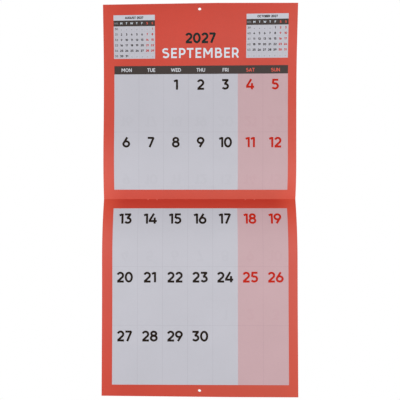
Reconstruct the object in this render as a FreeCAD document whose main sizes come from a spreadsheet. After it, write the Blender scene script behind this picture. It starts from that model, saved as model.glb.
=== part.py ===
import FreeCAD, Part
import math
import os

import Sketcher
from FreeCAD import Placement, Rotation, Vector

# Square wall calendar, a saddle-stitched booklet, hung open at a month in its second half.
# Most leaves are turned up into the upper half. The rest hang from the fold as the lower half.
#
# Frame: millimetres, +Z up, the printed faces look along -Y, +X to the reader's right.
# The origin is the centre of the nail hole, in the middle of the upper half's thickness.
#
# The leaves are drawn in a fold frame first, where the valley of the open fold is the X axis,
# and every finished piece is then moved by the same amount, so that the nail hole lands on 0.

# Driving dimensions

SIZES = {
    # Trimmed sheet
    "page_width": 300.0,
    "leaf_length": 302.0,
    "leaf_thickness": 0.16,
    "upper_leaves": 8,
    "lower_leaves": 4,
    "cover_thickness": 0.3,
    "air_gap": 0.15,
    "fold_clearance": 0.3,
    # Drilled hole near the outer edge of both halves
    "hole_diameter": 5.0,
    "hole_inset": 8.8,
    # Wire staples in the spine
    "wire_diameter": 0.6,
    "wire_bend": 0.6,
    "staple_length": 15.0,
    "staple_tip": 5.0,
    "staple_leg": 1.9,
    "staple_spacing": 150.0,
    # Lengths of the bends of the upper half, from the fold outwards
    "upper_rise_length": 60.0,
    "upper_crest_length": 40.0,
    "upper_dip_length": 70.0,
    "upper_curl_length": 80.0,
    # Slopes of the upper half towards the reader, in degrees, at the left and the right edge
    "upper_fold_slope_left": 9.0,
    "upper_rise_slope_left": 0.0,
    "upper_crest_slope_left": -3.5,
    "upper_dip_slope_left": -0.5,
    "upper_curl_slope_left": 4.3,
    "upper_fold_slope_right": 13.5,
    "upper_rise_slope_right": 0.0,
    "upper_crest_slope_right": 0.0,
    "upper_dip_slope_right": 1.0,
    "upper_curl_slope_right": 7.4,
    # Lengths of the bends of the lower half, from the fold outwards
    "lower_rise_length": 35.0,
    "lower_shoulder_length": 60.0,
    "lower_flat_length": 110.0,
    # Slopes of the lower half towards the reader, in degrees, at the left and the right edge
    "lower_fold_slope_left": 17.5,
    "lower_rise_slope_left": 11.0,
    "lower_shoulder_slope_left": -0.5,
    "lower_flat_slope_left": 1.4,
    "lower_fold_slope_right": 19.5,
    "lower_rise_slope_right": 12.0,
    "lower_shoulder_slope_right": 0.5,
    "lower_flat_slope_right": 1.7,
}

UPPER_BENDS = ("rise", "crest", "dip", "curl")
LOWER_BENDS = ("rise", "shoulder", "flat")
STRAIGHT_TURN = 0.001
VERTEX_TOLERANCE = 0.001

doc = FreeCAD.newDocument("wall_calendar")
sheet = doc.addObject("Spreadsheet::Sheet", "Sizes")


def store(name, value):
    """Write one size to the next free row of the sheet, under its own alias."""
    row = store.next_row
    sheet.set(f"A{row}", name)
    sheet.set(f"B{row}", str(value))
    sheet.setAlias(f"B{row}", name)
    store.next_row = row + 1


store.next_row = 1
for size_name, size_value in SIZES.items():
    store(size_name, size_value)
doc.recompute()


def size(name):
    """A size of the sheet, as a plain number."""
    return float(sheet.get(name))


# Section of a half: a chain of tangent arcs that ends in a straight run

def heading(side, slope):
    """Unit vector along a leaf, away from the fold, in the (Y, Z) plane. side is 1 up, -1 down."""
    angle = math.radians(slope)
    return Vector(-math.sin(angle), side * math.cos(angle), 0)


def backwards(side, slope):
    """Unit vector across a leaf, from its printed face towards the wall."""
    angle = math.radians(slope)
    return Vector(math.cos(angle), side * math.sin(angle), 0)


class Section:
    """One edge of a half, seen from the side: points and slopes from the fold outwards."""

    def __init__(self, half, edge):
        self.side = 1 if half == "upper" else -1
        names = UPPER_BENDS if half == "upper" else LOWER_BENDS
        start_gap = 0 if half == "upper" else size("fold_clearance")
        lengths = [size(f"{half}_{name}_length") for name in names]
        slopes = [size(f"{half}_fold_slope_{edge}")]
        slopes += [size(f"{half}_{name}_slope_{edge}") for name in names]
        lengths.append(size("leaf_length") - sum(lengths) - start_gap)
        slopes.append(slopes[-1])
        self.slopes = slopes
        self.lengths = lengths
        self.points = [heading(self.side, slopes[0]) * start_gap]
        for length, before, after in zip(lengths, slopes, slopes[1:]):
            half_turn = math.radians(after - before) / 2
            chord = length if abs(half_turn) < STRAIGHT_TURN else length * math.sin(half_turn) / half_turn
            middle_slope = (before + after) / 2
            self.points.append(self.points[-1] + heading(self.side, middle_slope) * chord)

    def knot(self, index, depth):
        """The point behind a knot of the printed face, at a depth into the paper."""
        return self.points[index] + backwards(self.side, self.slopes[index]) * depth

    def run(self, index, depth):
        """The arc or line between two knots, at a depth into the paper, drawn outwards."""
        start = self.knot(index, depth)
        end = self.knot(index + 1, depth)
        before, after = self.slopes[index], self.slopes[index + 1]
        half_turn = math.radians(after - before) / 2
        if abs(half_turn) < STRAIGHT_TURN:
            return Part.LineSegment(start, end)
        middle_slope = (before + after) / 2
        chord = (end - start).Length
        bulge = chord / 2 * math.tan(half_turn / 2)
        middle = (start + end) * 0.5 + backwards(self.side, middle_slope) * bulge
        return Part.Arc(start, middle, end)

    def at(self, inset, depth):
        """A point of the straight outer run, at a distance from the trimmed edge."""
        along = heading(self.side, self.slopes[-1]) * -inset
        return self.knot(len(self.points) - 1, depth) + along

    def outline(self, front, back, spine_slope=None):
        """Closed outline of a layer, between two depths, with a rounded spine if asked."""
        count = len(self.lengths)
        shapes = [self.run(index, front) for index in range(count)]
        shapes.append(Part.LineSegment(self.knot(count, front), self.knot(count, back)))
        shapes += [reverse(self.run(index, back)) for index in reversed(range(count))]
        if spine_slope is None:
            shapes.append(Part.LineSegment(self.knot(0, back), self.knot(0, front)))
            return shapes
        valley = self.points[0]
        shapes.append(self.spine_arc(valley, back, spine_slope))
        foot = valley + backwards(-self.side, spine_slope) * back
        if front == 0:
            shapes.append(Part.LineSegment(foot, valley))
            return shapes
        inner_foot = valley + backwards(-self.side, spine_slope) * front
        shapes.append(Part.LineSegment(foot, inner_foot))
        shapes.append(reverse(self.spine_arc(valley, front, spine_slope)))
        return shapes

    def spine_arc(self, valley, radius, spine_slope):
        """Arc about the valley, from the back of this half round to the other half's end."""
        middle_slope = (self.slopes[0] - spine_slope) / 2
        start = valley + backwards(self.side, self.slopes[0]) * radius
        middle = valley + backwards(self.side, middle_slope) * radius
        end = valley + backwards(-self.side, spine_slope) * radius
        return Part.Arc(start, middle, end)


def reverse(curve):
    """The same arc or line, drawn the other way round."""
    if isinstance(curve, Part.LineSegment):
        return Part.LineSegment(curve.EndPoint, curve.StartPoint)
    middle = curve.value((curve.FirstParameter + curve.LastParameter) / 2)
    return Part.Arc(curve.EndPoint, middle, curve.StartPoint)


# Derived sizes

upper_pages_depth = size("upper_leaves") * size("leaf_thickness")
lower_pages_depth = size("lower_leaves") * size("leaf_thickness")
upper_cover_front = upper_pages_depth + size("air_gap")
lower_cover_front = lower_pages_depth + size("air_gap")
upper_depth = upper_cover_front + size("cover_thickness")
lower_depth = lower_cover_front + size("cover_thickness")

SECTIONS = {(half, edge): Section(half, edge) for half in ("upper", "lower") for edge in ("left", "right")}


def middle_of(half, inset, depth):
    """A point of a half on the middle of its width, near its trimmed edge, in the fold frame."""
    left = SECTIONS[half, "left"].at(inset, depth)
    right = SECTIONS[half, "right"].at(inset, depth)
    return Vector(0, (left.x + right.x) / 2, (left.y + right.y) / 2)


nail_hole = middle_of("upper", size("hole_inset"), upper_depth / 2)
lower_hole = middle_of("lower", size("hole_inset"), lower_depth / 2)
store("nail_hole_depth", nail_hole.y)
store("nail_hole_height", nail_hole.z)
doc.recompute()


# Building helpers

def origin_plane(body, role):
    """The body's own origin plane with this role."""
    return next(part for part in body.Origin.OriginFeatures if part.Role == role)


def new_sketch(body, name, role, offset=None):
    """A sketch on one of the body's origin planes, moved along its normal by an expression."""
    sketch = body.newObject("Sketcher::SketchObject", name)
    sketch.AttachmentSupport = [(origin_plane(body, role), "")]
    sketch.MapMode = "FlatFace"
    if offset is not None:
        sketch.setExpression("AttachmentOffset.Base.z", offset)
    return sketch


def draw_closed(sketch, shapes):
    """Put a closed chain of curves in a sketch and join their ends."""
    for shape in shapes:
        sketch.addGeometry(shape, False)
    for index, shape in enumerate(shapes):
        follower = (index + 1) % len(shapes)
        end_of = vertex_at(sketch, index, shape.EndPoint)
        start_of = vertex_at(sketch, follower, shapes[follower].StartPoint)
        sketch.addConstraint(Sketcher.Constraint("Coincident", index, end_of, follower, start_of))


def vertex_at(sketch, index, point):
    """The sketch's own number, 1 or 2, for the end of a curve that lies at a point."""
    return 1 if (sketch.getPoint(index, 1) - point).Length < VERTEX_TOLERANCE else 2


def layer_body(name, half, front, back, spine=False):
    """A layer of a half, lofted from its left edge's section to its right edge's."""
    body = doc.addObject("PartDesign::Body", name)
    outlines = []
    for edge, offset in (("left", "-Sizes.page_width / 2"), ("right", "Sizes.page_width / 2")):
        sketch = new_sketch(body, f"{name}_{edge}", "YZ_Plane", offset)
        spine_slope = SECTIONS["lower", edge].slopes[0] if spine else None
        draw_closed(sketch, SECTIONS[half, edge].outline(front, back, spine_slope))
        outlines.append(sketch)
    loft = body.newObject("PartDesign::AdditiveLoft", f"{name}_loft")
    loft.Profile = outlines[0]
    loft.Sections = [outlines[1]]
    loft.Ruled = True
    return body


def drill(name, half, centre):
    """A drill for the hole of one half, square to the paper there and longer than it is thick."""
    slopes = [SECTIONS[half, edge].slopes[-1] for edge in ("left", "right")]
    side = SECTIONS[half, "left"].side
    across = backwards(side, sum(slopes) / len(slopes))
    axis = Vector(0, across.x, across.y)
    cylinder = doc.addObject("Part::Cylinder", name)
    cylinder.setExpression("Radius", "Sizes.hole_diameter / 2")
    cylinder.setExpression("Height", "Sizes.hole_diameter * 2")
    base = centre - axis * size("hole_diameter")
    cylinder.Placement = Placement(base, Rotation(Vector(0, 0, 1), axis))
    return cylinder


def pierced(label, body, tools):
    """The body with its drilled and pierced holes, moved to the part's frame."""
    holes = doc.addObject("Part::MultiFuse", f"{label}_holes")
    holes.Shapes = tools
    cut = doc.addObject("Part::Cut", f"{label}_cut")
    cut.Base = body
    cut.Tool = holes if len(tools) > 1 else tools[0]
    if len(tools) == 1:
        doc.removeObject(holes.Name)
    return placed(label, cut)


def placed(label, feature):
    """Give a finished sub-part its label and its place in the part's frame."""
    feature.Label = label
    feature.setExpression("Placement.Base.y", "-Sizes.nail_hole_depth")
    feature.setExpression("Placement.Base.z", "-Sizes.nail_hole_height")
    return feature


# Staples: a crown on the back of the spine, legs through the folds and tips bent inwards

def staple_line():
    """Where a staple's crown lies, and the direction of its legs, in the fold frame."""
    slopes_up = [SECTIONS["upper", edge].slopes[0] for edge in ("left", "right")]
    slopes_down = [SECTIONS["lower", edge].slopes[0] for edge in ("left", "right")]
    up = sum(slopes_up) / 2
    down = sum(slopes_down) / 2
    middle = backwards(1, (up - down) / 2)
    crown = middle * (upper_depth + size("wire_diameter") / 2)
    clinch = backwards(1, up) * (upper_pages_depth / 2) + heading(1, up) * size("wire_diameter")
    legs = clinch - crown
    legs.normalize()
    return Vector(0, crown.x, crown.y), Vector(0, legs.x, legs.y)


def staple_path(body, name):
    """The wire's centre line: crown, legs and tips, with each bend drawn as one short chord."""
    half = size("staple_length") / 2
    bend = size("wire_bend")
    leg = size("staple_leg")
    tip_end = half - size("staple_tip")
    right = [(tip_end, leg), (half - bend, leg), (half, leg - bend), (half, bend), (half - bend, 0)]
    points = [Vector(x, y, 0) for x, y in right]
    points += [Vector(-x, y, 0) for x, y in reversed(right)]
    tip = ("Sizes.staple_tip - Sizes.wire_bend", None)
    chord = ("Sizes.wire_bend", "Sizes.wire_bend")
    upright = (None, "Sizes.staple_leg - 2 * Sizes.wire_bend")
    crown = ("Sizes.staple_length - 2 * Sizes.wire_bend", None)
    steps = [tip, chord, upright, chord, crown, chord, upright, chord, tip]
    path = new_sketch(body, f"{name}_path", "XZ_Plane")
    for index, (across, along) in enumerate(steps):
        path.addGeometry(Part.LineSegment(points[index], points[index + 1]), False)
        if index:
            path.addConstraint(Sketcher.Constraint("Coincident", index - 1, 2, index, 1))
        measure(path, index, "DistanceX", points[index + 1].x > points[index].x, across, "Vertical")
        measure(path, index, "DistanceY", points[index + 1].y > points[index].y, along, "Horizontal")
    for kind, expression in (("DistanceX", "Sizes.staple_length / 2 - Sizes.staple_tip"),
                             ("DistanceY", "Sizes.staple_leg")):
        row = path.addConstraint(Sketcher.Constraint(kind, -1, 1, 0, 1, 1.0))
        path.setExpression(f"Constraints[{row}]", expression)
    return path


def measure(sketch, index, kind, forwards, expression, level):
    """Hold a line's reach along one axis by an expression, or keep it level where it has none."""
    if expression is None:
        sketch.addConstraint(Sketcher.Constraint(level, index))
        return
    first, last = (1, 2) if forwards else (2, 1)
    reach = sketch.getPoint(index, last) - sketch.getPoint(index, first)
    value = reach.x if kind == "DistanceX" else reach.y
    row = sketch.addConstraint(Sketcher.Constraint(kind, index, first, index, last, value))
    sketch.setExpression(f"Constraints[{row}]", expression)


def staple_body(name, centre_x):
    """A closed staple of round wire, swept along its own bent centre line."""
    body = doc.addObject("PartDesign::Body", name)
    path = staple_path(body, name)
    ring = new_sketch(body, f"{name}_ring", "YZ_Plane", "Sizes.staple_length / 2 - Sizes.staple_tip")
    centre = Vector(0, size("staple_leg"), 0)
    ring.addGeometry(Part.Circle(centre, Vector(0, 0, 1), size("wire_diameter") / 2), False)
    rows = [
        (Sketcher.Constraint("Diameter", 0, size("wire_diameter")), "Sizes.wire_diameter"),
        (Sketcher.Constraint("DistanceY", -1, 1, 0, 3, centre.y), "Sizes.staple_leg"),
    ]
    for constraint, expression in rows:
        row = ring.addConstraint(constraint)
        ring.setExpression(f"Constraints[{row}]", expression)
    ring.addConstraint(Sketcher.Constraint("PointOnObject", 0, 3, -2))
    pipe = body.newObject("PartDesign::AdditivePipe", f"{name}_wire")
    pipe.Profile = ring
    pipe.Spine = path
    pipe.Transition = "Right corner"
    crown, legs = staple_line()
    body.Placement = Placement(Vector(centre_x, crown.y, crown.z), Rotation(Vector(0, 0, 1), legs))
    return body


STAPLES = {
    "staple_left": staple_body("wire_left", -size("staple_spacing") / 2),
    "staple_right": staple_body("wire_right", size("staple_spacing") / 2),
}

# Layers, from the reader to the wall

upper_drill = drill("nail_drill", "upper", nail_hole)
lower_drill = drill("lower_drill", "lower", lower_hole)
through_spine = [upper_drill] + list(STAPLES.values())

PIECES = [
    pierced("upper_pages", layer_body("upper_stack", "upper", 0, upper_pages_depth, True), through_spine),
    pierced("front_cover", layer_body("front_card", "upper", upper_cover_front, upper_depth, True), through_spine),
    pierced("lower_pages", layer_body("lower_stack", "lower", 0, lower_pages_depth), [lower_drill]),
    pierced("back_cover", layer_body("back_card", "lower", lower_cover_front, lower_depth), [lower_drill]),
]
for label, body in STAPLES.items():
    wire = doc.addObject("Part::Refine", f"{label}_wire")
    wire.Source = body
    PIECES.append(placed(label, wire))

doc.recompute()

# Every object has to be sound before anything is written

for item in doc.Objects:
    if "Invalid" in item.State or "Error" in item.State:
        raise RuntimeError(f"{item.Label}: {item.State}")
for piece in PIECES:
    if piece.Shape.isNull() or not piece.Shape.isValid() or piece.Shape.Volume <= 0:
        raise RuntimeError(f"{piece.Label}: bad shape")

os.makedirs("parts", exist_ok=True)
for piece in PIECES:
    piece.Shape.exportStep(f"parts/{piece.Label}.step")
    box = piece.Shape.BoundBox
    print(
        f"{piece.Label}: {len(piece.Shape.Solids)} solid, {piece.Shape.Volume:.1f} mm3, "
        f"x {box.XMin:.2f}..{box.XMax:.2f} y {box.YMin:.2f}..{box.YMax:.2f} z {box.ZMin:.2f}..{box.ZMax:.2f}"
    )
print("valley of the fold at y", -nail_hole.y, "z", -nail_hole.z)
print("lower hole at y", lower_hole.y - nail_hole.y, "z", lower_hole.z - nail_hole.z)
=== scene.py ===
import logging
import math
import random
from dataclasses import dataclass, field
from enum import Enum

import bmesh
import bpy
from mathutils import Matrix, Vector


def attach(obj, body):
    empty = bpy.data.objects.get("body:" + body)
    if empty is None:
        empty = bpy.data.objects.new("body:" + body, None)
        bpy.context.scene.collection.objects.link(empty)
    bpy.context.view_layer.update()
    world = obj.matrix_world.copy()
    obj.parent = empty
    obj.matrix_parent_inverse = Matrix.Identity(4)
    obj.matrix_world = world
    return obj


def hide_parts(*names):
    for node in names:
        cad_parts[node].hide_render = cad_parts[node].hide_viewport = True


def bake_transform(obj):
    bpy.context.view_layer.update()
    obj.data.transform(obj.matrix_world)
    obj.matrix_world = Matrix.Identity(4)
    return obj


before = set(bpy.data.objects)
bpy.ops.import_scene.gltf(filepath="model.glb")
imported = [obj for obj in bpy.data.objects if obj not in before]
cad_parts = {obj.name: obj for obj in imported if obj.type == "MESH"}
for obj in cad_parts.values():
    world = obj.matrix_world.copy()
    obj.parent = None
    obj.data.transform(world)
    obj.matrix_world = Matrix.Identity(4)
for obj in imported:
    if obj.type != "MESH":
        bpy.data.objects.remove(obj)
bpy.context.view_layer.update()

MM = 0.001
LOG = logging.getLogger("wall_calendar")

# Where most of a noise's values lie
NOISE_MIDDLE = (0.3, 0.7)
# A face is a cut edge when its normal leans this little out of the sheet
EDGE_TILT = 0.5
# Half side of the square opened for a hole, in radii, and how far its cuts run across and along
HOLE_ROOM = 1.8
HOLE_AREA = (60.0, 12.0)

Colour = tuple[float, float, float]
Axes = tuple[float, float, float]
Span = tuple[float, float]
Spot = tuple[float, float]
Bow = tuple[float, float, float, float, float, float]
Stroke = tuple[Spot | Bow, ...]
Mesh = bmesh.types.BMesh
Faces = list[bmesh.types.BMFace]
Piece = bpy.types.Object
Material = bpy.types.Material
Tree = bpy.types.NodeTree
Socket = bpy.types.NodeSocket


class Side(Enum):
    """The two halves of the open booklet, and the sign of their distances from the fold."""

    UPPER = 1
    LOWER = -1

    @property
    def body(self) -> str:
        """Name of the CAD body that carries this half."""
        return "upper_half" if self is Side.UPPER else "lower_half"

    @property
    def label(self) -> str:
        """Plain word for this half, used in the names of its pieces."""
        return self.name.lower()


class Weight(Enum):
    """Widths of the pens that draw the lettering."""

    HEAVY = 0
    BOLD = 1
    FULL = 2
    MEDIUM = 3
    SMALL = 4


class Ink(Enum):
    """What is printed on a field of the spread, in the order of its material slots."""

    RED = 0
    CELL = 1
    WEEKEND = 2
    BAND = 3
    CELL_LINE = 4
    WEEKEND_LINE = 5
    TITLE = 6
    EDGE = 7
    # A painted highlight: the glint of the staple legs at the fold
    MARK = 8


# Finishes


def new_material(name: str) -> tuple[Material, Tree, bpy.types.Node]:
    """Make an empty node material with a Principled shader.

    Args:
        name: name of the material.

    Returns:
        The material, its node tree and its Principled node.
    """
    material = bpy.data.materials.new(name)
    material.use_nodes = True
    tree = material.node_tree
    tree.nodes.clear()
    shader = tree.nodes.new("ShaderNodeBsdfPrincipled")
    output = tree.nodes.new("ShaderNodeOutputMaterial")
    tree.links.new(shader.outputs["BSDF"], output.inputs["Surface"])
    return material, tree, shader


def feed(tree: Tree, target: Socket, value: Socket | Colour | float) -> None:
    """Link a socket to a node's input, or set the input's own value.

    Args:
        tree: node tree of the node.
        target: the input.
        value: socket, colour or number that it gets.
    """
    if isinstance(value, Socket):
        tree.links.new(value, target)
    else:
        target.default_value = value


def joined(tree: Tree, operation: str, *values: Socket | float) -> Socket:
    """Join values by one sum, comparison or other operation.

    Args:
        tree: node tree that gets the node.
        operation: name of the operation.
        *values: sockets or numbers, in order.

    Returns:
        The socket with the result.
    """
    node = tree.nodes.new("ShaderNodeMath")
    node.operation = operation
    for index, value in enumerate(values):
        feed(tree, node.inputs[index], value)
    return node.outputs["Value"]


def mixed(tree: Tree, share: Socket, under: Socket | Colour, over: Colour) -> Socket:
    """Lay a colour over another by a share.

    Args:
        tree: node tree that gets the node.
        share: socket with the upper colour's share.
        under: lower colour.
        over: upper colour.

    Returns:
        The socket with the mixture.
    """
    mix = tree.nodes.new("ShaderNodeMix")
    mix.data_type = "RGBA"
    under = under if isinstance(under, Socket) else (*under, 1.0)
    for index, value in ((0, share), (6, under), (7, (*over, 1.0))):
        feed(tree, mix.inputs[index], value)
    return mix.outputs[2]


def ramped(tree: Tree, value: Socket, limits: tuple[float, ...], smooth: bool = False) -> Socket:
    """Map a range of values to another.

    Args:
        tree: node tree that gets the node.
        value: socket that is read.
        limits: the values where the range begins and ends, and the results there.
        smooth: whether the result eases in and out.

    Returns:
        The socket with the result.
    """
    ramp = tree.nodes.new("ShaderNodeMapRange")
    ramp.interpolation_type = "SMOOTHSTEP" if smooth else "LINEAR"
    for name, limit in zip(("From Min", "From Max", "To Min", "To Max"), limits):
        ramp.inputs[name].default_value = limit
    tree.links.new(value, ramp.inputs["Value"])
    return ramp.outputs["Result"]


def noise(tree: Tree, scale: float, detail: float, stretch: Axes = (1.0, 1.0, 1.0)) -> Socket:
    """Add a noise texture on Object coordinates.

    Args:
        tree: node tree that gets the texture.
        scale: noise scale, in features a metre.
        detail: octaves of the noise.
        stretch: factor on each axis, to draw the noise out.

    Returns:
        The socket with the noise.
    """
    place = tree.nodes.new("ShaderNodeTexCoord")
    mapping = tree.nodes.new("ShaderNodeMapping")
    texture = tree.nodes.new("ShaderNodeTexNoise")
    mapping.inputs["Scale"].default_value = stretch
    texture.inputs["Scale"].default_value = scale
    texture.inputs["Detail"].default_value = detail
    tree.links.new(place.outputs["Object"], mapping.inputs["Vector"])
    tree.links.new(mapping.outputs["Vector"], texture.inputs["Vector"])
    return texture.outputs["Fac"]


def spread(tree: Tree, source: Socket, low: float, high: float) -> Socket:
    """Map the middle of a noise's values to a range, and return the socket with the result."""
    return ramped(tree, source, (*NOISE_MIDDLE, low, high))


@dataclass(frozen=True)
class CoatedPaper:
    """A printed colour on silk-coated paper: fine print mottle, soft clouds and a faint tooth."""

    name: str
    colour: Colour
    mottle: float = 0.05
    clouds: float = 0.04
    roughness: float = 0.46
    roughness_swing: float = 0.05
    specular: float = 0.5
    tooth: float = 0.03
    tooth_depth: float = 0.02
    mottle_scale: float = 900.0
    cloud_scale: float = 14.0
    tooth_scale: float = 2600.0

    def build(self) -> Material:
        """Make the material.

        Returns:
            The finished material.
        """
        material, tree, shader = new_material(self.name)
        material.diffuse_color = (*self.colour, 1.0)
        grain = spread(tree, noise(tree, self.mottle_scale, 3.0), -self.mottle, self.mottle)
        cloud = spread(tree, noise(tree, self.cloud_scale, 2.0), -self.clouds, self.clouds)
        tint = tree.nodes.new("ShaderNodeVectorMath")
        tint.operation = "SCALE"
        tint.inputs[0].default_value = self.colour
        tree.links.new(joined(tree, "ADD", joined(tree, "ADD", grain, cloud), 1.0), tint.inputs["Scale"])
        silk = noise(tree, self.mottle_scale / 2, 2.0)
        swing = self.roughness_swing
        rough = spread(tree, silk, self.roughness - swing, self.roughness + swing)
        bump = tree.nodes.new("ShaderNodeBump")
        bump.inputs["Strength"].default_value = self.tooth
        bump.inputs["Distance"].default_value = self.tooth_depth * MM
        tree.links.new(noise(tree, self.tooth_scale, 2.0), bump.inputs["Height"])
        feed(tree, shader.inputs["Base Color"], tint.outputs["Vector"])
        feed(tree, shader.inputs["Roughness"], rough)
        feed(tree, shader.inputs["Specular IOR Level"], self.specular)
        feed(tree, shader.inputs["Normal"], bump.outputs["Normal"])
        return material


@dataclass(frozen=True)
class RubbedCoat(CoatedPaper):
    """The red print of the pages, with painted light on it: a painted highlight along the side margins that
    is fullest at the fold, painted shade under the fold, and a painted sheen that grows towards the lower
    right.
    """

    # Painted highlight: a paler red on the side margins, fullest at the fold and a far_share of it further
    # away
    rubbed: Colour = (0.68, 0.070, 0.036)
    # Painted shade under the fold: fullest at the fold line, easing within shade_reach to a share of
    # shade_far over the rest of the lower half
    shaded: Colour = (0.53, 0.033, 0.015)
    shade_reach: float = 0.030
    shade_far: float = 0.35
    # Painted sheen: a paler red that grows to the right and towards the bottom, standing in for glossy light
    # from the right
    faded: Colour = (0.59, 0.085, 0.045)
    left_edge: float = -0.150
    top_edge: float = 0.009
    fade_across: tuple[float, ...] = (0.0, 0.30, 0.2, 1.0)
    fade_down: tuple[float, ...] = (0.0, 0.60, 0.1, 1.0)
    rub_start: float = 0.112
    rub_end: float = 0.152
    fold_level: float = -0.2924
    fold_reach: float = 0.11
    far_share: float = 0.35

    def build(self) -> Material:
        """Make the material.

        Returns:
            The finished material.
        """
        material = super().build()
        tree = material.node_tree
        shader = next(node for node in tree.nodes if node.type == "BSDF_PRINCIPLED")
        plain = shader.inputs["Base Color"].links[0].from_socket
        place = tree.nodes.new("ShaderNodeTexCoord")
        axes = tree.nodes.new("ShaderNodeSeparateXYZ")
        tree.links.new(place.outputs["Object"], axes.inputs["Vector"])
        across, up = axes.outputs["X"], axes.outputs["Z"]
        outward = self.fade(tree, across, 0.0, (self.rub_start, self.rub_end, 0.0, 1.0))
        height = self.fade(tree, up, self.fold_level, (0.0, self.fold_reach, 1.0, self.far_share))
        below = joined(tree, "LESS_THAN", up, self.fold_level)
        near = self.fade(tree, up, self.fold_level, (0.0, self.shade_reach, 1.0, self.shade_far))
        right = self.fade(tree, across, self.left_edge, self.fade_across)
        low = self.fade(tree, up, self.top_edge, self.fade_down)
        # Painted sheen towards the lower right
        colour = mixed(tree, joined(tree, "MULTIPLY", right, low), plain, self.faded)
        # Painted shade below the fold
        colour = mixed(tree, joined(tree, "MULTIPLY", below, near), colour, self.shaded)
        # Painted highlight on the side margins, strongest at the fold
        colour = mixed(tree, joined(tree, "MULTIPLY", outward, height), colour, self.rubbed)
        tree.links.new(colour, shader.inputs["Base Color"])
        return material

    @staticmethod
    def fade(tree: Tree, place: Socket, plane: float, limits: tuple[float, ...]) -> Socket:
        """Fade by the distance from a plane.

        Args:
            tree: node tree that gets the nodes.
            place: coordinate that is read.
            plane: where the plane lies on that coordinate.
            limits: distances where the fade begins and ends, and its values there.

        Returns:
            The socket with the faded value.
        """
        away = joined(tree, "ABSOLUTE", joined(tree, "SUBTRACT", place, plane))
        return ramped(tree, away, limits, smooth=True)


@dataclass(frozen=True)
class TrimmedEdge:
    """The cut edge of the sheets: raw white paper with the cutter's fine upright marks."""

    name: str
    pale: Colour = (0.80, 0.74, 0.71)
    deep: Colour = (0.62, 0.42, 0.38)
    mark_scale: float = 700.0
    mark_stretch: Axes = (1.0, 0.12, 1.0)
    roughness: float = 0.85

    def build(self) -> Material:
        """Make the material.

        Returns:
            The finished material.
        """
        material, tree, shader = new_material(self.name)
        marks = noise(tree, self.mark_scale, 4.0, self.mark_stretch)
        colour = mixed(tree, spread(tree, marks, 0.0, 1.0), self.deep, self.pale)
        feed(tree, shader.inputs["Base Color"], colour)
        feed(tree, shader.inputs["Roughness"], self.roughness)
        return material


@dataclass(frozen=True)
class GalvanisedWire:
    """Bright stitching wire with drawing marks along it."""

    name: str
    colour: Colour = (0.72, 0.72, 0.74)
    dull: Colour = (0.50, 0.50, 0.52)
    mark_scale: float = 2200.0
    mark_stretch: Axes = (0.15, 1.0, 1.0)
    roughness: Span = (0.24, 0.38)

    def build(self) -> Material:
        """Make the material.

        Returns:
            The finished material.
        """
        material, tree, shader = new_material(self.name)
        drawn = noise(tree, self.mark_scale, 3.0, self.mark_stretch)
        colour = mixed(tree, spread(tree, drawn, 0.0, 1.0), self.dull, self.colour)
        feed(tree, shader.inputs["Base Color"], colour)
        feed(tree, shader.inputs["Roughness"], spread(tree, drawn, *self.roughness))
        feed(tree, shader.inputs["Metallic"], 1.0)
        return material


@dataclass(frozen=True)
class Palette:
    """Every printed colour of the calendar, as a finish of its own."""

    # The red print, with painted highlights on the margins, painted shade under the fold and a painted sheen
    # to the lower right
    red: RubbedCoat = RubbedCoat("red_coat", (0.595, 0.040, 0.0165), roughness=0.40, specular=0.4)
    cell: CoatedPaper = CoatedPaper("cell_grey", (0.520, 0.515, 0.570), mottle=0.02, clouds=0.015)
    weekend: CoatedPaper = CoatedPaper("weekend_pink", (0.555, 0.360, 0.385), mottle=0.02, clouds=0.015)
    band: CoatedPaper = CoatedPaper("band_black", (0.028, 0.015, 0.011), mottle=0.12, specular=0.4)
    ghost: CoatedPaper = CoatedPaper("cell_show_through", (0.507, 0.502, 0.556), mottle=0.02, clouds=0.015)
    pink_ghost: CoatedPaper = CoatedPaper(
        "weekend_show_through", (0.548, 0.350, 0.375), mottle=0.02, clouds=0.015
    )
    cell_line: CoatedPaper = CoatedPaper("cell_line_grey", (0.435, 0.425, 0.480), mottle=0.02)
    weekend_line: CoatedPaper = CoatedPaper("weekend_line_pink", (0.480, 0.300, 0.330), mottle=0.02)
    # Painted highlight of the staple legs at the fold
    mark: CoatedPaper = CoatedPaper("painted_staple_glint", (0.64, 0.095, 0.062), mottle=0.1)
    title: CoatedPaper = CoatedPaper("title_pale", (0.560, 0.575, 0.640), mottle=0.02, clouds=0.015)
    edge: TrimmedEdge = TrimmedEdge("sheet_edge")
    black_ink: CoatedPaper = CoatedPaper("date_black", (0.013, 0.006, 0.002), mottle=0.12, specular=0.1)
    slate_ink: CoatedPaper = CoatedPaper("year_slate", (0.005, 0.020, 0.019), mottle=0.12, specular=0.1)
    red_ink: CoatedPaper = CoatedPaper("date_red", (0.51, 0.014, 0.002), mottle=0.05, specular=0.1)
    band_red_ink: CoatedPaper = CoatedPaper("band_red", (0.84, 0.080, 0.040), mottle=0.05)
    white_ink: CoatedPaper = CoatedPaper("heading_white", (0.660, 0.740, 0.810), mottle=0.02)
    name_ink: CoatedPaper = CoatedPaper("weekday_white", (0.670, 0.690, 0.730), mottle=0.02)
    week_ink: CoatedPaper = CoatedPaper("week_grey", (0.150, 0.145, 0.155), mottle=0.05)
    card: CoatedPaper = CoatedPaper("cover_card_red", (0.55, 0.048, 0.027), roughness=0.36, clouds=0.06)
    card_crease: CoatedPaper = CoatedPaper("cover_crease", (0.68, 0.16, 0.11), roughness=0.5, mottle=0.2)
    wire: GalvanisedWire = GalvanisedWire("stitching_wire")


# Shape of the bent leaves


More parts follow.
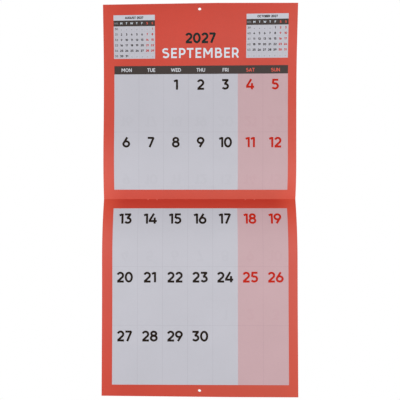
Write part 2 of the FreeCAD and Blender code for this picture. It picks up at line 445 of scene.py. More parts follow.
@dataclass(frozen=True)
class BentHalf:
    """One half of the booklet as a chain of tangent arcs, from the fold to a straight outer run.

    Slopes are degrees towards the reader. The left and right edges bend a little differently,
    and the paper between them is ruled straight across.
    """

    side: Side
    lengths: tuple[float, ...]
    slopes_left: tuple[float, ...]
    slopes_right: tuple[float, ...]
    start: float = 0.0

    def edge_point(self, slopes: tuple[float, ...], distance: float, depth: float) -> tuple[float, float]:
        """Find a point of one edge, seen from the side.

        Args:
            slopes: slopes at the knots of this edge.
            distance: distance along the leaf from the fold, in millimetres.
            depth: distance behind the printed face, in millimetres.

        Returns:
            Its place behind and above the fold's valley, in millimetres.
        """
        sign = self.side.value
        back = up = travelled = 0.0
        spans = [(self.start, slopes[0], slopes[0])]
        spans += list(zip(self.lengths, slopes, slopes[1:]))
        spans.append((math.inf, slopes[-1], slopes[-1]))
        for length, before, after in spans:
            here = min(length, distance - travelled)
            share = here / length if length else 1.0
            slope = before + (after - before) * (0.0 if math.isinf(length) else share)
            half_turn = math.radians(slope - before) / 2
            chord = here if abs(half_turn) < 1e-6 else here * math.sin(half_turn) / half_turn
            middle = math.radians((before + slope) / 2)
            back -= math.sin(middle) * chord
            up += sign * math.cos(middle) * chord
            travelled += here
            if travelled >= distance - 1e-9:
                break
        angle = math.radians(slope)
        return back + math.cos(angle) * depth, up + sign * math.sin(angle) * depth

    def point(self, across: float, distance: float, depth: float, width: float) -> tuple[float, float]:
        """Find a point of the bent leaf.

        Args:
            across: distance to the right of the middle of the page, in millimetres.
            distance: distance along the leaf from the fold, in millimetres.
            depth: distance behind the printed face, in millimetres.
            width: width of the page, in millimetres.

        Returns:
            Its place behind and above the fold's valley, in millimetres.
        """
        share = across / width + 0.5
        left = self.edge_point(self.slopes_left, distance, depth)
        right = self.edge_point(self.slopes_right, distance, depth)
        return left[0] + (right[0] - left[0]) * share, left[1] + (right[1] - left[1]) * share

    def fold_slope(self, across: float, width: float) -> float:
        """Give the slope at the fold, in degrees, at a place across the page."""
        share = across / width + 0.5
        return self.slopes_left[0] + (self.slopes_right[0] - self.slopes_left[0]) * share


@dataclass(frozen=True)
class Booklet:
    """The open booklet's sizes, in millimetres, and the shape that its sheets are bent to."""

    width: float = 300.0
    length: float = 302.0
    valley_back: float = 12.137901
    valley_up: float = -292.446029
    hole_radius: float = 2.5
    hole_inset: float = 8.8
    trim_room: float = 5.0
    upper_trim: float = -1.8
    upper_trim_start: float = 25.0
    trim_run: float = 125.0
    lower_trim: float = 1.3
    lower_trim_gain: float = 1.6
    upper: BentHalf = BentHalf(
        Side.UPPER,
        (60.0, 40.0, 70.0, 80.0),
        (9.0, 0.0, -3.5, -0.5, 4.3),
        (13.5, 0.0, 0.0, 1.0, 7.4),
    )
    lower: BentHalf = BentHalf(
        Side.LOWER,
        (35.0, 60.0, 110.0),
        (17.5, 11.0, -0.5, 1.4),
        (19.5, 12.0, 0.5, 1.7),
        0.3,
    )

    def half(self, side: Side) -> BentHalf:
        """Give the bent shape of one half."""
        return self.upper if side is Side.UPPER else self.lower

    def trimmed(self, across: float, along: float) -> float:
        """Shift a point near the outer edge, because the cutter went slightly askew.

        Args:
            across: distance to the right of the middle, in millimetres.
            along: signed distance from the fold, in millimetres.

        Returns:
            The signed distance from the fold after the cut.
        """
        share = (abs(along) - self.length + self.trim_room) / self.trim_room
        if share <= 0:
            return along
        if along > 0:
            change, run = self.upper_trim, (across - self.upper_trim_start) / self.trim_run
        else:
            change, run = self.lower_trim, (across + self.width / 2) / self.width * self.lower_trim_gain
        return along + change * min(1.0, max(0.0, run)) * min(share, 1.0) * math.copysign(1.0, along)

    def place(self, across: float, along: float, depth: float) -> Vector:
        """Bend a point of the flat spread into the part's frame.

        Args:
            across: distance to the right of the middle, in millimetres.
            along: signed distance from the fold, up above it and down below it, in millimetres.
            depth: distance behind the printed face, in millimetres.

        Returns:
            The point in the part's frame, in metres.
        """
        along = self.trimmed(across, along)
        if abs(along) < 1e-6:
            up_slope = self.upper.fold_slope(across, self.width)
            down_slope = self.lower.fold_slope(across, self.width)
            middle = math.radians((up_slope - down_slope) / 2)
            reach = depth / math.cos(math.radians((up_slope + down_slope) / 2))
            back, up = math.cos(middle) * reach, math.sin(middle) * reach
        else:
            side = Side.UPPER if along > 0 else Side.LOWER
            back, up = self.half(side).point(across, abs(along), depth, self.width)
        return Vector((across, self.valley_back + back, self.valley_up + up)) * MM

    def round_spine(self, across: float, share: float, radius: float) -> Vector:
        """Give a point of the rounded spine behind the fold.

        Args:
            across: distance to the right of the middle, in millimetres.
            share: 0 at the upper half's end of the spine, 1 at the lower half's.
            radius: distance from the valley, in millimetres.

        Returns:
            The point in the part's frame, in metres.
        """
        up_slope = self.upper.fold_slope(across, self.width)
        down_slope = self.lower.fold_slope(across, self.width)
        angle = math.radians(up_slope - (up_slope + down_slope) * share)
        back, up = math.cos(angle) * radius, math.sin(angle) * radius
        return Vector((across, self.valley_back + back, self.valley_up + up)) * MM

    @property
    def valley(self) -> Vector:
        """The middle of the fold's valley, in metres."""
        return Vector((0.0, self.valley_back, self.valley_up)) * MM


# Mesh helpers


def flat_grid(
    bm: Mesh, left: float, right: float, low: float, high: float, step: float, columns: int = 1
) -> None:
    """Lay a flat grid of faces in the (x, y) plane.

    Args:
        bm: mesh that gets the grid.
        left: its left edge.
        right: its right edge.
        low: its lower edge.
        high: its upper edge.
        step: distance between rows.
        columns: number of columns.
    """
    rows = max(1, round((high - low) / step))
    made = bmesh.ops.create_grid(bm, x_segments=columns, y_segments=rows, size=0.5)
    bmesh.ops.scale(bm, verts=made["verts"], vec=(right - left, high - low, 1.0))
    bmesh.ops.translate(bm, verts=made["verts"], vec=((left + right) / 2, (low + high) / 2, 0.0))


def cut_line(bm: Mesh, axis: int, value: float, faces: Faces | None = None) -> None:
    """Cut faces along a line of the flat sheet.

    Args:
        bm: the flat mesh, in millimetres.
        axis: 0 cuts along an upright line, 1 along a level line.
        value: where the line lies on that axis.
        faces: faces that are cut, or None for all of them.
    """
    chosen = faces if faces is not None else list(bm.faces)
    edges = {edge for face in chosen for edge in face.edges}
    verts = {vert for face in chosen for vert in face.verts}
    normal = Vector((1, 0, 0)) if axis == 0 else Vector((0, 1, 0))
    bmesh.ops.bisect_plane(
        bm, geom=list(verts) + list(edges) + chosen, dist=1e-5, plane_co=normal * value, plane_no=normal
    )


def faces_within(bm: Mesh, left: float, right: float, low: float, high: float) -> Faces:
    """List the flat mesh's faces whose middle lies inside a rectangle.

    Args:
        bm: the flat mesh.
        left: left edge of the rectangle.
        right: its right edge.
        low: its lower edge.
        high: its upper edge.

    Returns:
        The faces inside it.
    """
    inside = []
    for face in bm.faces:
        middle = face.calc_center_median()
        if left < middle.x < right and low < middle.y < high:
            inside.append(face)
    return inside


def cut_near(bm: Mesh, cuts: list[tuple[int, float]], area: tuple[float, ...]) -> None:
    """Cut the faces inside an area only, along one (axis, value) line after another."""
    for axis, value in cuts:
        cut_line(bm, axis, value, faces_within(bm, *area))


def drill_flat(bm: Mesh, centre: Spot, radius: float, segments: int) -> None:
    """Open a round hole in a flat sheet.

    Args:
        bm: the flat mesh, in millimetres.
        centre: centre of the hole.
        radius: radius of the hole.
        segments: sides of the round hole.
    """
    room = radius * HOLE_ROOM
    wide, high = HOLE_AREA
    cuts = [(axis, centre[axis] + shift) for axis in (0, 1) for shift in (-room, 0.0, room)]
    cut_near(bm, cuts, (centre[0] - wide, centre[0] + wide, centre[1] - high, centre[1] + high))
    square = faces_within(bm, centre[0] - room, centre[0] + room, centre[1] - room, centre[1] + room)
    edges = {edge for face in square for edge in face.edges}
    rim = [edge for edge in edges if sum(near in square for near in edge.link_faces) == 1]
    bmesh.ops.delete(bm, geom=square, context="FACES")
    rim = [edge for edge in rim if edge.is_valid]
    made = bmesh.ops.create_circle(bm, cap_ends=False, radius=radius, segments=segments)
    bmesh.ops.translate(bm, verts=made["verts"], vec=(centre[0], centre[1], 0.0))
    circle = list({edge for vert in made["verts"] for edge in vert.link_edges})
    bmesh.ops.bridge_loops(bm, edges=rim + circle)


def thicken(bm: Mesh, thickness: float, edge_index: int | None) -> None:
    """Give a flat sheet its thickness, away from the reader, and mark its cut edges.

    Args:
        bm: the flat mesh, in millimetres, with depth along z.
        thickness: thickness of the sheet.
        edge_index: material slot of the cut edges, or None to leave them.
    """
    front = list(bm.faces)
    made = bmesh.ops.extrude_face_region(bm, geom=front, use_keep_orig=True)
    moved = [item for item in made["geom"] if isinstance(item, bmesh.types.BMVert)]
    bmesh.ops.translate(bm, verts=moved, vec=(0.0, 0.0, thickness))
    bmesh.ops.recalc_face_normals(bm, faces=bm.faces)
    if edge_index is None:
        return
    for face in bm.faces:
        if abs(face.normal.z) < EDGE_TILT:
            face.material_index = edge_index


def absorb(whole: Mesh, part: Mesh) -> None:
    """Add a mesh to another, and free it.

    Args:
        whole: mesh that grows.
        part: mesh that is added and freed.
    """
    scrap = bpy.data.meshes.new("scrap")
    part.to_mesh(scrap)
    part.free()
    whole.from_mesh(scrap)
    bpy.data.meshes.remove(scrap)


def finish_mesh(name: str, bm: Mesh, materials: list[Material], smooth_below: float) -> Piece:
    """Turn a finished mesh into an object at the origin, normals outwards.

    Args:
        name: name of the piece.
        bm: its mesh, in metres, in the part's frame. It is freed here.
        materials: material slots, in order.
        smooth_below: edges that turn by less than this many degrees are shaded smooth.

    Returns:
        The new object.
    """
    bmesh.ops.recalc_face_normals(bm, faces=bm.faces)
    mesh = bpy.data.meshes.new(name)
    bm.to_mesh(mesh)
    bm.free()
    mesh.shade_smooth()
    mesh.set_sharp_from_angle(angle=math.radians(smooth_below))
    for material in materials:
        mesh.materials.append(material)
    piece = bpy.data.objects.new(name, mesh)
    bpy.context.collection.objects.link(piece)
    return piece


def report(piece: Piece) -> None:
    """Log one finished piece with its size in faces."""
    LOG.info("%s: %d faces", piece.name, len(piece.data.polygons))


# Lettering, drawn with a pen of constant width

STEM: Stroke = ((0.08, 0.0), (0.08, 1.0))
BOWL: Stroke = ((0.08, 0.92), (0.34, 0.92), (0.34, 0.655, 0.245, 0.265, 85, -85), (0.34, 0.39), (0.08, 0.39))
SIGNS: dict[str, tuple[float, tuple[Stroke, ...]]] = {
    "0": (0.74, (((0.37, 0.5, 0.295, 0.425, 90, 450),),)),
    "1": (0.41, (((0.32, 0.0), (0.32, 1.0)), ((0.02, 0.82), (0.30, 0.935)))),
    "2": (0.69, (((0.345, 0.675, 0.26, 0.25, 165, -45), (0.10, 0.10)), ((0.03, 0.075), (0.68, 0.075)))),
    "3": (
        0.70,
        (
            ((0.03, 0.92), (0.655, 0.92)),
            ((0.60, 0.94), (0.28, 0.54)),
            ((0.33, 0.32, 0.28, 0.235, 108, -150),),
        ),
    ),
    "4": (0.76, (((0.56, 0.0), (0.56, 0.61)), ((0.485, 1.0), (0.055, 0.29)), ((-0.02, 0.26), (0.77, 0.26)))),
    "5": (
        0.70,
        (
            ((0.65, 0.925), (0.165, 0.925), (0.13, 0.53)),
            ((0.33, 0.325, 0.28, 0.25, 128, -150),),
        ),
    ),
    "6": (0.71, (((0.355, 0.33, 0.28, 0.255, 150, 510),), ((0.118, 0.45), (0.45, 0.985)))),
    "7": (0.68, (((0.02, 0.925), (0.60, 0.925)), ((0.60, 0.965), (0.20, 0.0)))),
    "8": (0.71, (((0.355, 0.735, 0.235, 0.19, 90, 450),), ((0.355, 0.30, 0.28, 0.225, 90, 450),))),
    "9": (0.71, (((0.355, 0.67, 0.28, 0.255, -30, 330),), ((0.592, 0.55), (0.26, 0.015)))),
    "A": (0.84, (((0.08, 0.0), (0.42, 0.94), (0.76, 0.0)), ((0.20, 0.28), (0.64, 0.28)))),
    "B": (
        0.72,
        (
            STEM,
            ((0.08, 0.92), (0.36, 0.92), (0.36, 0.73, 0.20, 0.19, 85, -85), (0.36, 0.54), (0.08, 0.54)),
            ((0.10, 0.525), (0.40, 0.525), (0.40, 0.30, 0.24, 0.225, 85, -85), (0.40, 0.075), (0.08, 0.075)),
        ),
    ),
    "C": (0.80, (((0.44, 0.5, 0.36, 0.42, 48, 312),),)),
    "D": (
        0.80,
        (
            STEM,
            ((0.08, 0.92), (0.34, 0.92), (0.34, 0.5, 0.37, 0.42, 85, -85), (0.34, 0.08), (0.08, 0.08)),
        ),
    ),
    "E": (0.59, (((0.59, 0.92), (0.08, 0.92), (0.08, 0.08), (0.59, 0.08)), ((0.08, 0.505), (0.54, 0.505)))),
    "F": (0.60, (((0.08, 0.0), (0.08, 0.92), (0.60, 0.92)), ((0.08, 0.49), (0.54, 0.49)))),
    "G": (0.84, (((0.44, 0.5, 0.36, 0.42, 48, 345),), ((0.785, 0.12), (0.785, 0.46), (0.48, 0.46)))),
    "H": (0.76, (STEM, ((0.68, 0.0), (0.68, 1.0)), ((0.08, 0.5), (0.68, 0.5)))),
    "I": (0.16, (STEM,)),
    "K": (0.70, (STEM, ((0.62, 0.98), (0.12, 0.42)), ((0.30, 0.60), (0.66, 0.0)))),
    "M": (0.99, (STEM, ((0.86, 1.0), (0.86, 0.0)), ((0.12, 0.94), (0.47, 0.36), (0.82, 0.94)))),
    "N": (0.80, (STEM, ((0.72, 0.0), (0.72, 1.0)), ((0.10, 0.93), (0.70, 0.07)))),
    "O": (0.90, (((0.45, 0.5, 0.37, 0.42, 90, 450),),)),
    "P": (0.58, (STEM, BOWL)),
    "R": (0.70, (STEM, BOWL, ((0.38, 0.40), (0.63, 0.0)))),
    "S": (0.72, (((0.36, 0.73, 0.265, 0.195, 35, 265), (0.36, 0.30, 0.285, 0.225, 85, -150)),)),
    "T": (0.70, (((0.0, 0.92), (0.70, 0.92)), ((0.35, 0.95), (0.35, 0.0)))),
    "U": (
        0.76,
        (((0.08, 1.0), (0.08, 0.37), (0.38, 0.37, 0.30, 0.29, 183, 357), (0.68, 0.37), (0.68, 1.0)),),
    ),
    "W": (1.25, (((0.06, 1.0), (0.34, 0.06), (0.625, 0.92), (0.91, 0.06), (1.19, 1.0)),)),
    ".": (0.28, (((0.0, 0.12), (0.28, 0.12)),)),
    " ": (0.30, ()),
}


@dataclass(frozen=True)
class Letterforms:
    """A plain geometric alphabet. Each sign is a set of pen strokes in a box one unit high.

    A stroke lists points (x, y) and bows (centre x, centre y, radius x, radius y, start, end),
    with the angles in degrees. Strokes that end where they begin are closed.
    """

    signs: dict[str, tuple[float, tuple[Stroke, ...]]] = field(default_factory=lambda: dict(SIGNS))

    def width(self, text: str, gap: float) -> float:
        """Give the width of a line of text in letter heights, with a gap between signs."""
        return sum(self.signs[sign][0] for sign in text) + gap * (len(text) - 1)


@dataclass(frozen=True)
class Pen:
    """A pen that draws flat ribbons of ink on the flat spread."""

    forms: Letterforms
    weight: float = 0.15
    bow_step: float = 18.0
    sharpest: float = 1.42
    split_turn: float = 100.0
    lift: float = 1.5
    lift_step: float = 0.1

    def trails(self, stroke: Stroke) -> list[list[Vector]]:
        """Follow a stroke and list its middle lines, parted where it turns too sharply for one ribbon.

        Args:
            stroke: points and bows of the stroke.

        Returns:
            Its middle lines.
        """
        points = self.trail(stroke)
        parts = [[points[0]]]
        for before, point, after in zip(points, points[1:], points[2:]):
            parts[-1].append(point)
            if math.degrees((point - before).angle(after - point)) > self.split_turn:
                parts.append([point])
        parts[-1].append(points[-1])
        return parts

    def trail(self, stroke: Stroke) -> list[Vector]:
        """Follow a stroke and list the points of its middle line.

        Args:
            stroke: points and bows of the stroke.

        Returns:
            The points in order.
        """
        points: list[Vector] = []
        for item in stroke:
            if len(item) == 2:
                points.append(Vector(item))
                continue
            x, y, radius_x, radius_y, start, end = item
            steps = max(2, round(abs(end - start) / self.bow_step))
            for index in range(steps + 1):
                angle = math.radians(start + (end - start) * index / steps)
                points.append(Vector((x + radius_x * math.cos(angle), y + radius_y * math.sin(angle))))
        return points

    def ribbon(self, bm: Mesh, points: list[Vector], lift: float) -> None:
        """Draw one stroke as a strip of faces, one extruded step after another.

        Args:
            bm: mesh that gets the strip, in millimetres.
            points: middle line of the stroke.
            lift: depth of the strip.
        """
        closed = (points[0] - points[-1]).length < 1e-4
        count = len(points)
        half = self.weight / 2
        pairs = []
        for index, point in enumerate(points):
            before = points[index - 1] if index else (points[-2] if closed else None)
            after = points[index + 1] if index < count - 1 else (points[1] if closed else None)
            back = (point - before).normalized() if before is not None else None
            ahead = (after - point).normalized() if after is not None else None
            heading = (back or ahead) + (ahead or back)
            heading = heading.normalized() if heading.length > 1e-6 else (ahead or back)
            reach = half / max((heading @ (ahead or back)), 1 / self.sharpest)
            sideways = Vector((-heading.y, heading.x)) * reach
            pairs.append((point + sideways, point - sideways))
        ends = [bm.verts.new((*spot, lift)) for spot in pairs[0]]
        edge = bm.edges.new(ends)
        for left, right in pairs[1:]:
            made = bmesh.ops.extrude_edge_only(bm, edges=[edge])["geom"]
            drawn = (item for item in made if isinstance(item, bmesh.types.BMEdge))
            edge = next(item for item in drawn if ends_only(item, made))
            first, second = self.paired(edge, ends)
            first.co, second.co = (*left, lift), (*right, lift)
            ends = [first, second]

    @staticmethod
    def paired(edge: bmesh.types.BMEdge, ends: list[bmesh.types.BMVert]) -> tuple[bmesh.types.BMVert, ...]:
        """Match a new edge's ends to the old ends that they were drawn out of.

        Args:
            edge: the new edge.
            ends: left and right end of the old edge.

        Returns:
            The new edge's left and right end.
        """
        first, second = edge.verts
        if any(link.other_vert(first) is ends[0] for link in first.link_edges):
            return first, second
        return second, first

    def write(
        self, bm: Mesh, text: str, centre: float, base: float, height: float, gap: float = 0.13,
        width: float | None = None, film: float = 0.02,
    ) -> None:
        """Write a line of text on the flat spread as closed films of ink.

        Args:
            bm: mesh that gets the text, in millimetres.
            text: the signs to write.
            centre: middle of the line, across the page.
            base: base line, along the page.
            height: height of the signs.
            gap: space between signs, in heights.
            width: width of the whole line, to which the gaps are fitted.
            film: thickness of the ink.
        """
        if width is not None:
            bare = self.forms.width(text, 0.0)
            gap = (width / height - bare) / (len(text) - 1)
        cursor = -self.forms.width(text, gap) / 2
        for sign in text:
            advance, strokes = self.forms.signs[sign]
            trails = [trail for stroke in strokes for trail in self.trails(stroke)]
            for order, trail in enumerate(trails):
                glyph = bmesh.new()
                self.ribbon(glyph, trail, 0.0)
                bmesh.ops.remove_doubles(glyph, verts=glyph.verts, dist=1e-4)
                bmesh.ops.scale(glyph, verts=glyph.verts, vec=(height, height, 1.0))
                depth = -film * (self.lift + self.lift_step * order)
                shift = (centre + cursor * height, base, depth)
                bmesh.ops.translate(glyph, verts=glyph.verts, vec=shift)
                thicken(glyph, film, None)
                absorb(bm, glyph)
            cursor += advance + gap


def ends_only(edge: bmesh.types.BMEdge, made: list) -> bool:
    """Tell whether both ends of an edge are newly extruded vertices."""
    return all(vert in made for vert in edge.verts)


# Printed layout


@dataclass(frozen=True)
class MonthGrid:
    """Fields of the big month table, in millimetres across the page and along it from the fold."""

    columns: tuple[float, ...] = (-133.3, -94.75, -56.2, -17.55, 21.05, 59.3, 98.1, 136.75)
    lower_columns: tuple[float, ...] = (-134.05, -95.5, -57.0, -18.45, 20.05, 58.5, 97.25, 135.95)
    inner: float = 15.0
    row: float = 90.0
    band_low: float = 195.25
    band_high: float = 208.1
    line: float = 0.42
    date_drop: float = 8.4
    date_height: float = 15.8
    date_shift: float = -0.3
    date_gap: float = 0.1
    weekday_base: float = 199.0
    weekday_height: float = 5.5
    weekday_fall: float = 0.1
    weekdays: tuple[str, ...] = ("MON", "TUE", "WED", "THU", "FRI", "SAT", "SUN")
    first_column: int = 2
    days: int = 30
    first_weekend: int = 5

    def lines(self, side: Side) -> tuple[float, ...]:
        """Give the upright lines of one half's columns."""
        return self.columns if side is Side.UPPER else self.lower_columns

    def reach(self, side: Side) -> tuple[float, float]:
        """Give where one half's rows of dates begin and end, along the page.

        Args:
            side: half of the booklet.

        Returns:
            The lower and the upper level.
        """
        if side is Side.UPPER:
            return self.inner, self.band_low
        return -self.inner - 3 * self.row, -self.inner

    def levels(self, side: Side) -> tuple[float, ...]:
        """Give the level lines between one half's rows.

        Args:
            side: half of the booklet.

        Returns:
            Their places along the page.
        """
        if side is Side.UPPER:
            return (self.inner + self.row,)
        return -self.inner - self.row, -self.inner - 2 * self.row

    def middle(self, side: Side, column: int) -> float:
        """Give the middle of a column, across the page."""
        lines = self.lines(side)
        return (lines[column] + lines[column + 1]) / 2


@dataclass(frozen=True)
class MonthTable:
    """One of the small month tables in the header."""

    title: str
    left: float
    right: float
    first_column: int
    days: int
    first_week: int
    high: float
    title_height: float
    low: float = 219.35
    band_height: float = 8.8
    rows: int = 6
    columns: int = 8
    line: float = 0.3
    sign_height: float = 3.15
    title_sign: float = 3.3

    @property
    def band_low(self) -> float:
        """Lower edge of the dark weekday band."""
        return self.high - self.title_height - self.band_height

    @property
    def row_height(self) -> float:
        """Height of one row of dates."""
        return (self.band_low - self.low) / self.rows

    @property
    def head_base(self) -> float:
        """Base line of the signs in the weekday band."""
        return self.band_low + (self.band_height - self.sign_height) / 2

    def row_base(self, row: int) -> float:
        """Give the base line of the signs in a row of dates."""
        return self.band_low - self.row_height * (row + 0.5) - self.sign_height / 2

    def middle(self, column: int) -> float:
        """Give the middle of a column, across the page."""
        return self.left + (self.right - self.left) * (column + 0.5) / self.columns


@dataclass
class FrontSpread:
    """The visible pair of pages: one thin sheet across the fold, with its printed fields."""

    booklet: Booklet
    palette: Palette
    grid: MonthGrid
    tables: tuple[MonthTable, MonthTable]
    thickness: float = 0.12
    row_step: float = 5.0
    trim_cuts: tuple[float, ...] = (25.0, 120.0)
    hole_segments: int = 36
    # Painted glints of the staple legs at the fold: their places, width, reach along the fold and cutting
    # area
    mark_places: tuple[float, ...] = (-80.8, -66.8, 71.6, 85.6)
    mark_width: float = 2.2
    mark_low: float = -1.4
    mark_high: float = 0.3
    turn_room: float = 0.3
    mark_area: Span = (45.0, 6.0)
    table_area: Span = (90.0, 6.0)
    smooth_below: float = 9.0

    def build(self) -> Piece:
        """Make the sheet, bent to its shape at the fold.

        Returns:
            The finished piece.
        """
        book = self.booklet
        bm = bmesh.new()
        half = book.width / 2
        flat_grid(bm, -half, half, -book.length, book.length, self.row_step)
        cut_line(bm, 1, 0.0)
        for value in self.trim_cuts:
            cut_line(bm, 0, value)
        self.cut_month(bm)
        for table in self.tables:
            self.cut_table(bm, table)
        self.colour_month(bm)
        for table in self.tables:
            self.colour_table(bm, table)
        for sign in (1, -1):
            centre = (0.0, sign * (book.length - book.hole_inset))
            drill_flat(bm, centre, book.hole_radius, self.hole_segments)
        self.mark_staples(bm)
        thicken(bm, self.thickness, Ink.EDGE.value)
        for vert in bm.verts:
            vert.co = book.place(vert.co.x, vert.co.y, vert.co.z)
        piece = finish_mesh("front_spread", bm, self.inks(), self.smooth_below)
        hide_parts("upper_pages", "lower_pages")
        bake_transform(piece)
        report(piece)
        return piece

    def inks(self) -> list[Material]:
        """Make the sheet's materials, in the order of the Ink choices.

        Returns:
            The materials.
        """
        palette = self.palette
        finishes = {
            Ink.RED: palette.red,
            Ink.CELL: palette.cell,
            Ink.WEEKEND: palette.weekend,
            Ink.BAND: palette.band,
            Ink.CELL_LINE: palette.cell_line,
            Ink.WEEKEND_LINE: palette.weekend_line,
            Ink.TITLE: palette.title,
            Ink.EDGE: palette.edge,
            Ink.MARK: palette.mark,
        }
        return [finishes[ink].build() for ink in Ink]

    def half_faces(self, bm: Mesh, side: Side) -> Faces:
        """List the faces of one half of the flat sheet."""
        low, high = sorted((0.0, side.value * self.booklet.length))
        return faces_within(bm, -self.booklet.width, self.booklet.width, low, high)

    def cut_month(self, bm: Mesh) -> None:
        """Cut the sheet along the big month table's lines.

        Args:
            bm: the flat sheet, in millimetres.
        """
        grid = self.grid
        for side in Side:
            lines = grid.lines(side)
            upright = [lines[0], lines[-1], lines[grid.first_weekend]]
            for value in lines[1:-1]:
                upright += [value - grid.line / 2, value + grid.line / 2]
            for value in upright:
                cut_line(bm, 0, value, self.half_faces(bm, side))
            for value in grid.levels(side):
                cut_line(bm, 1, value - grid.line / 2)
                cut_line(bm, 1, value + grid.line / 2)
            for value in grid.reach(side):
                cut_line(bm, 1, value)
        cut_line(bm, 1, grid.band_high)

    def colour_month(self, bm: Mesh) -> None:
        """Give the faces of the big month table their inks.

        Args:
            bm: the flat sheet, in millimetres.
        """
        grid = self.grid
        thin = grid.line / 2
        for side in Side:
            lines = grid.lines(side)
            low, high = grid.reach(side)
            weekend = lines[grid.first_weekend]
            for face in faces_within(bm, lines[0], lines[-1], low, high):
                place = face.calc_center_median()
                ruled = any(abs(place.x - value) < thin for value in lines[1:-1] if value != weekend)
                ruled = ruled or any(abs(place.y - value) < thin for value in grid.levels(side))
                plain, line = Ink.CELL, Ink.CELL_LINE
                if place.x >= weekend:
                    plain, line = Ink.WEEKEND, Ink.WEEKEND_LINE
                face.material_index = (line if ruled else plain).value
        for face in faces_within(bm, grid.columns[0], grid.columns[-1], grid.band_low, grid.band_high):
            face.material_index = Ink.BAND.value

    def cut_table(self, bm: Mesh, table: MonthTable) -> None:
        """Cut the sheet along a small table's lines, inside its own rectangle.

        Args:
            bm: the flat sheet, in millimetres.
            table: the small table.
        """
        wide, tall = self.table_area
        area = (table.left - wide, table.right + wide, table.low - tall, table.high + tall)
        cut_near(bm, [(0, table.left), (0, table.right), (1, table.low), (1, table.high)], area)
        for value in (table.high - table.title_height, table.band_low):
            cut_line(bm, 1, value, self.within(bm, table))
        pitch = (table.right - table.left) / table.columns
        for column in range(1, table.columns):
            for shift in (-table.line / 2, table.line / 2):
                cut_line(bm, 0, table.left + pitch * column + shift, self.within(bm, table))
        for row in range(1, table.rows):
            for shift in (-table.line / 2, table.line / 2):
                cut_line(bm, 1, table.low + table.row_height * row + shift, self.within(bm, table))

    def colour_table(self, bm: Mesh, table: MonthTable) -> None:
        """Give the faces of a small table their inks.

        Args:
            bm: the flat sheet, in millimetres.
            table: the small table.
        """
        left, right, low, high = table.left, table.right, table.low, table.high
        title_low, thin = high - table.title_height, table.line / 2
        fields = [(Ink.CELL, left, right, low, high), (Ink.TITLE, left, right, title_low, high)]
        for column in range(1, table.columns):
            place = left + (right - left) / table.columns * column
            fields.append((Ink.CELL_LINE, place - thin, place + thin, low, table.band_low))
        for row in range(1, table.rows):
            place = low + table.row_height * row
            fields.append((Ink.CELL_LINE, left, right, place - thin, place + thin))
        fields.append((Ink.BAND, left, right, table.band_low, title_low))
        for ink, *area in fields:
            for face in faces_within(bm, *area):
                face.material_index = ink.value

    @staticmethod
    def within(bm: Mesh, table: MonthTable) -> Faces:
        """List the faces of a small table."""
        return faces_within(bm, table.left, table.right, table.low, table.high)

    def mark_staples(self, bm: Mesh) -> None:
        """Paint pale glints on the fold where the staples' legs show: painted highlights of the wire.

        Args:
            bm: the flat sheet, in millimetres.
        """
        half = self.mark_width / 2
        wide, tall = self.mark_area
        for place in self.mark_places:
            cuts = [(0, place - half), (0, place + half), (1, self.mark_low), (1, self.mark_high)]
            cut_near(bm, cuts, (place - wide, place + wide, -tall, tall))
            for face in faces_within(bm, place - half, place + half, self.mark_low, self.mark_high):
                face.material_index = Ink.MARK.value


@dataclass
class StackBehind:
    """The leaves behind the visible page of one half, each a thin sheet of its own."""

    booklet: Booklet
    palette: Palette
    side: Side
    leaves: int
    seed: int
    pitch: float = 0.16
    thickness: float = 0.125
    row_step: float = 7.0
    hole_segments: int = 28
    columns: int = 12
    fold_gap: float = 0.3
    drift: float = 0.16
    hole_drift: float = 0.12
    hole_creep: float = 0.9
    hole_sway: float = 0.0
    smooth_below: float = 9.0

    def build(self) -> Piece:
        """Make the leaves as one piece.

        Returns:
            The finished piece.
        """
        book = self.booklet
        luck = random.Random(self.seed)
        sign = self.side.value
        whole = bmesh.new()
        for leaf in range(1, self.leaves):
            bm = bmesh.new()
            trim = luck.uniform(0.0, self.drift)
            shift = luck.uniform(-self.drift, self.drift) / 2
            half = book.width / 2 - self.drift / 2
            near, far = sorted((sign * self.fold_gap, sign * (book.length - trim)))
            flat_grid(bm, shift - half, shift + half, near, far, self.row_step, self.columns)
            share = leaf / (self.leaves - 1)
            creep = self.hole_creep * share + luck.uniform(-self.hole_drift, self.hole_drift)
            sway = self.hole_sway * share + luck.uniform(-self.hole_drift, self.hole_drift)
            place = (sway, sign * (book.length - book.hole_inset + creep))
            drill_flat(bm, place, book.hole_radius, self.hole_segments)
            thicken(bm, self.thickness, 1)
            for vert in bm.verts:
                vert.co = book.place(vert.co.x, vert.co.y, vert.co.z + leaf * self.pitch)
            absorb(whole, bm)
        materials = [self.palette.red.build(), self.palette.edge.build()]
        piece = finish_mesh(f"{self.side.label}_leaves", whole, materials, self.smooth_below)
        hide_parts(f"{self.side.label}_pages")
        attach(piece, self.side.body)
        report(piece)
        return piece


